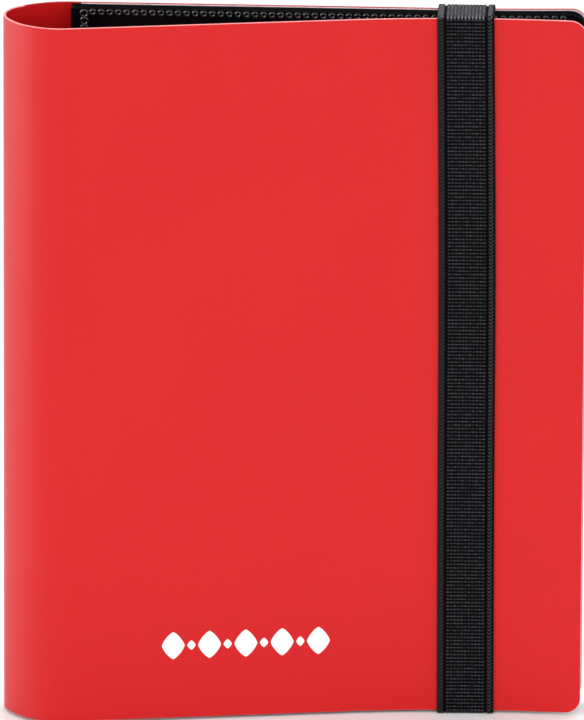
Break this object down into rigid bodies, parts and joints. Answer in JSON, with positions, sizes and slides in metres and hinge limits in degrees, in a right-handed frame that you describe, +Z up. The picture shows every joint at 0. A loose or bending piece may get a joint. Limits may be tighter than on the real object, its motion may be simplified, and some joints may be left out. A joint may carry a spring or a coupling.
{
  "type": "trading card binder",
  "caption": "Soft-cover card binder with a rounded hollow spine, clear side-loading pocket pages and an elastic closing strap.",
  "frame": {"origin": "middle of the closed binder's footprint, at the bottom of the strap that it stands on", "axes": "+Z up along the spine, +X from the spine to the fore edge, -Y out of the front cover"},
  "size_m": [0.184, 0.0298, 0.2349],
  "materials": {
    "cover": "satin",
    "page": "satin",
    "film": "gloss",
    "strap": "matt ribbed elastic"
  },
  "bodies": {
    "back_cover": {"back_cover": "cover", "binding_strip": "page", "page_margins": "page", "strap_tabs": "strap"},
    "spine_back": {"spine_back": "cover"},
    "spine_front": {"spine_front": "cover"},
    "front_cover": {"front_cover": "cover"},
    "page_01": {"page_sheet_01": "page", "page_pockets_01": "film"},
    "page_02": {"page_sheet_02": "page", "page_pockets_02": "film"},
    "page_03": {"page_sheet_03": "page", "page_pockets_03": "film"},
    "page_04": {"page_sheet_04": "page", "page_pockets_04": "film"},
    "page_05": {"page_sheet_05": "page", "page_pockets_05": "film"},
    "page_06": {"page_sheet_06": "page", "page_pockets_06": "film"},
    "page_07": {"page_sheet_07": "page", "page_pockets_07": "film"},
    "page_08": {"page_sheet_08": "page", "page_pockets_08": "film"},
    "page_09": {"page_sheet_09": "page", "page_pockets_09": "film"},
    "page_10": {"page_sheet_10": "page", "page_pockets_10": "film"},
    "page_11": {"page_sheet_11": "page", "page_pockets_11": "film"},
    "page_12": {"page_sheet_12": "page", "page_pockets_12": "film"},
    "page_13": {"page_sheet_13": "page", "page_pockets_13": "film"},
    "page_14": {"page_sheet_14": "page", "page_pockets_14": "film"},
    "page_15": {"page_sheet_15": "page", "page_pockets_15": "film"},
    "page_16": {"page_sheet_16": "page", "page_pockets_16": "film"},
    "page_17": {"page_sheet_17": "page", "page_pockets_17": "film"},
    "page_18": {"page_sheet_18": "page", "page_pockets_18": "film"},
    "page_19": {"page_sheet_19": "page", "page_pockets_19": "film"},
    "page_20": {"page_sheet_20": "page", "page_pockets_20": "film"},
    "strap": {"elastic_strap": "strap"}
  },
  "joints": [
    {"name": "cover_open", "type": "hinge", "parent": "spine_back", "child": "spine_front", "pos_m": [-0.092, -0.00045, 0.11716], "axis": [0, 0, -1], "range_deg": [0, 113.39]},
    {"name": "spine_back_fold", "type": "hinge", "parent": "back_cover", "child": "spine_back", "pos_m": [-0.071, 0.01295, 0.11716], "axis": [0, 0, -1], "range_deg": [0, 32.56]},
    {"name": "front_cover_fold", "type": "hinge", "parent": "spine_front", "child": "front_cover", "pos_m": [-0.071, -0.01465, 0.11716], "axis": [0, 0, -1], "range_deg": [0, 42.99]},
    {"name": "page_01_turn", "type": "hinge", "parent": "back_cover", "child": "page_01", "pos_m": [-0.0635, 0.00668, 0.11716], "axis": [0, 0, -1], "range_deg": [0, 178.02]},
    {"name": "page_02_turn", "type": "hinge", "parent": "back_cover", "child": "page_02", "pos_m": [-0.0635, 0.00668, 0.11716], "axis": [0, 0, -1], "range_deg": [0, 176.92]},
    {"name": "page_03_turn", "type": "hinge", "parent": "back_cover", "child": "page_03", "pos_m": [-0.0635, 0.00668, 0.11716], "axis": [0, 0, -1], "range_deg": [0, 175.82]},
    {"name": "page_04_turn", "type": "hinge", "parent": "back_cover", "child": "page_04", "pos_m": [-0.0635, 0.00668, 0.11716], "axis": [0, 0, -1], "range_deg": [0, 174.72]},
    {"name": "page_05_turn", "type": "hinge", "parent": "back_cover", "child": "page_05", "pos_m": [-0.0635, 0.00668, 0.11716], "axis": [0, 0, -1], "range_deg": [0, 173.62]},
    {"name": "page_06_turn", "type": "hinge", "parent": "back_cover", "child": "page_06", "pos_m": [-0.0635, 0.00668, 0.11716], "axis": [0, 0, -1], "range_deg": [0, 172.52]},
    {"name": "page_07_turn", "type": "hinge", "parent": "back_cover", "child": "page_07", "pos_m": [-0.0635, 0.00668, 0.11716], "axis": [0, 0, -1], "range_deg": [0, 171.42]},
    {"name": "page_08_turn", "type": "hinge", "parent": "back_cover", "child": "page_08", "pos_m": [-0.0635, 0.00668, 0.11716], "axis": [0, 0, -1], "range_deg": [0, 170.32]},
    {"name": "page_09_turn", "type": "hinge", "parent": "back_cover", "child": "page_09", "pos_m": [-0.0635, 0.00668, 0.11716], "axis": [0, 0, -1], "range_deg": [0, 169.22]},
    {"name": "page_10_turn", "type": "hinge", "parent": "back_cover", "child": "page_10", "pos_m": [-0.0635, 0.00668, 0.11716], "axis": [0, 0, -1], "range_deg": [0, 168.12]},
    {"name": "page_11_turn", "type": "hinge", "parent": "back_cover", "child": "page_11", "pos_m": [-0.0635, 0.00668, 0.11716], "axis": [0, 0, -1], "range_deg": [0, 10.92]},
    {"name": "page_12_turn", "type": "hinge", "parent": "back_cover", "child": "page_12", "pos_m": [-0.0635, 0.00668, 0.11716], "axis": [0, 0, -1], "range_deg": [0, 9.82]},
    {"name": "page_13_turn", "type": "hinge", "parent": "back_cover", "child": "page_13", "pos_m": [-0.0635, 0.00668, 0.11716], "axis": [0, 0, -1], "range_deg": [0, 8.72]},
    {"name": "page_14_turn", "type": "hinge", "parent": "back_cover", "child": "page_14", "pos_m": [-0.0635, 0.00668, 0.11716], "axis": [0, 0, -1], "range_deg": [0, 7.62]},
    {"name": "page_15_turn", "type": "hinge", "parent": "back_cover", "child": "page_15", "pos_m": [-0.0635, 0.00668, 0.11716], "axis": [0, 0, -1], "range_deg": [0, 6.52]},
    {"name": "page_16_turn", "type": "hinge", "parent": "back_cover", "child": "page_16", "pos_m": [-0.0635, 0.00668, 0.11716], "axis": [0, 0, -1], "range_deg": [0, 5.42]},
    {"name": "page_17_turn", "type": "hinge", "parent": "back_cover", "child": "page_17", "pos_m": [-0.0635, 0.00668, 0.11716], "axis": [0, 0, -1], "range_deg": [0, 4.32]},
    {"name": "page_18_turn", "type": "hinge", "parent": "back_cover", "child": "page_18", "pos_m": [-0.0635, 0.00668, 0.11716], "axis": [0, 0, -1], "range_deg": [0, 3.22]},
    {"name": "page_19_turn", "type": "hinge", "parent": "back_cover", "child": "page_19", "pos_m": [-0.0635, 0.00668, 0.11716], "axis": [0, 0, -1], "range_deg": [0, 2.12]},
    {"name": "page_20_turn", "type": "hinge", "parent": "back_cover", "child": "page_20", "pos_m": [-0.0635, 0.00668, 0.11716], "axis": [0, 0, -1], "range_deg": [0, 1.02]},
    {"name": "strap_release", "type": "slide", "parent": "back_cover", "child": "strap", "axis": [0, 1, 0], "range_m": [0, 0.0126], "deforming": ["elastic_strap"]}
  ],
  "couplings": [
    {"joint": "spine_back_fold", "follows": "cover_open", "ratio": 0.28698},
    {"joint": "front_cover_fold", "follows": "cover_open", "ratio": 0.37892},
    {"joint": "page_01_turn", "follows": "cover_open", "ratio": 1.5698},
    {"joint": "page_02_turn", "follows": "cover_open", "ratio": 1.5601},
    {"joint": "page_03_turn", "follows": "cover_open", "ratio": 1.5504},
    {"joint": "page_04_turn", "follows": "cover_open", "ratio": 1.5407},
    {"joint": "page_05_turn", "follows": "cover_open", "ratio": 1.531},
    {"joint": "page_06_turn", "follows": "cover_open", "ratio": 1.5213},
    {"joint": "page_07_turn", "follows": "cover_open", "ratio": 1.5116},
    {"joint": "page_08_turn", "follows": "cover_open", "ratio": 1.5019},
    {"joint": "page_09_turn", "follows": "cover_open", "ratio": 1.4922},
    {"joint": "page_10_turn", "follows": "cover_open", "ratio": 1.4825},
    {"joint": "page_11_turn", "follows": "cover_open", "ratio": 0.09613},
    {"joint": "page_12_turn", "follows": "cover_open", "ratio": 0.08643},
    {"joint": "page_13_turn", "follows": "cover_open", "ratio": 0.07672},
    {"joint": "page_14_turn", "follows": "cover_open", "ratio": 0.06702},
    {"joint": "page_15_turn", "follows": "cover_open", "ratio": 0.05732},
    {"joint": "page_16_turn", "follows": "cover_open", "ratio": 0.04762},
    {"joint": "page_17_turn", "follows": "cover_open", "ratio": 0.03792},
    {"joint": "page_18_turn", "follows": "cover_open", "ratio": 0.02822},
    {"joint": "page_19_turn", "follows": "cover_open", "ratio": 0.01852},
    {"joint": "page_20_turn", "follows": "cover_open", "ratio": 0.00882},
    {"joint": "strap_release", "follows": "cover_open", "m_per_rad": 0.0063616}
  ]
}
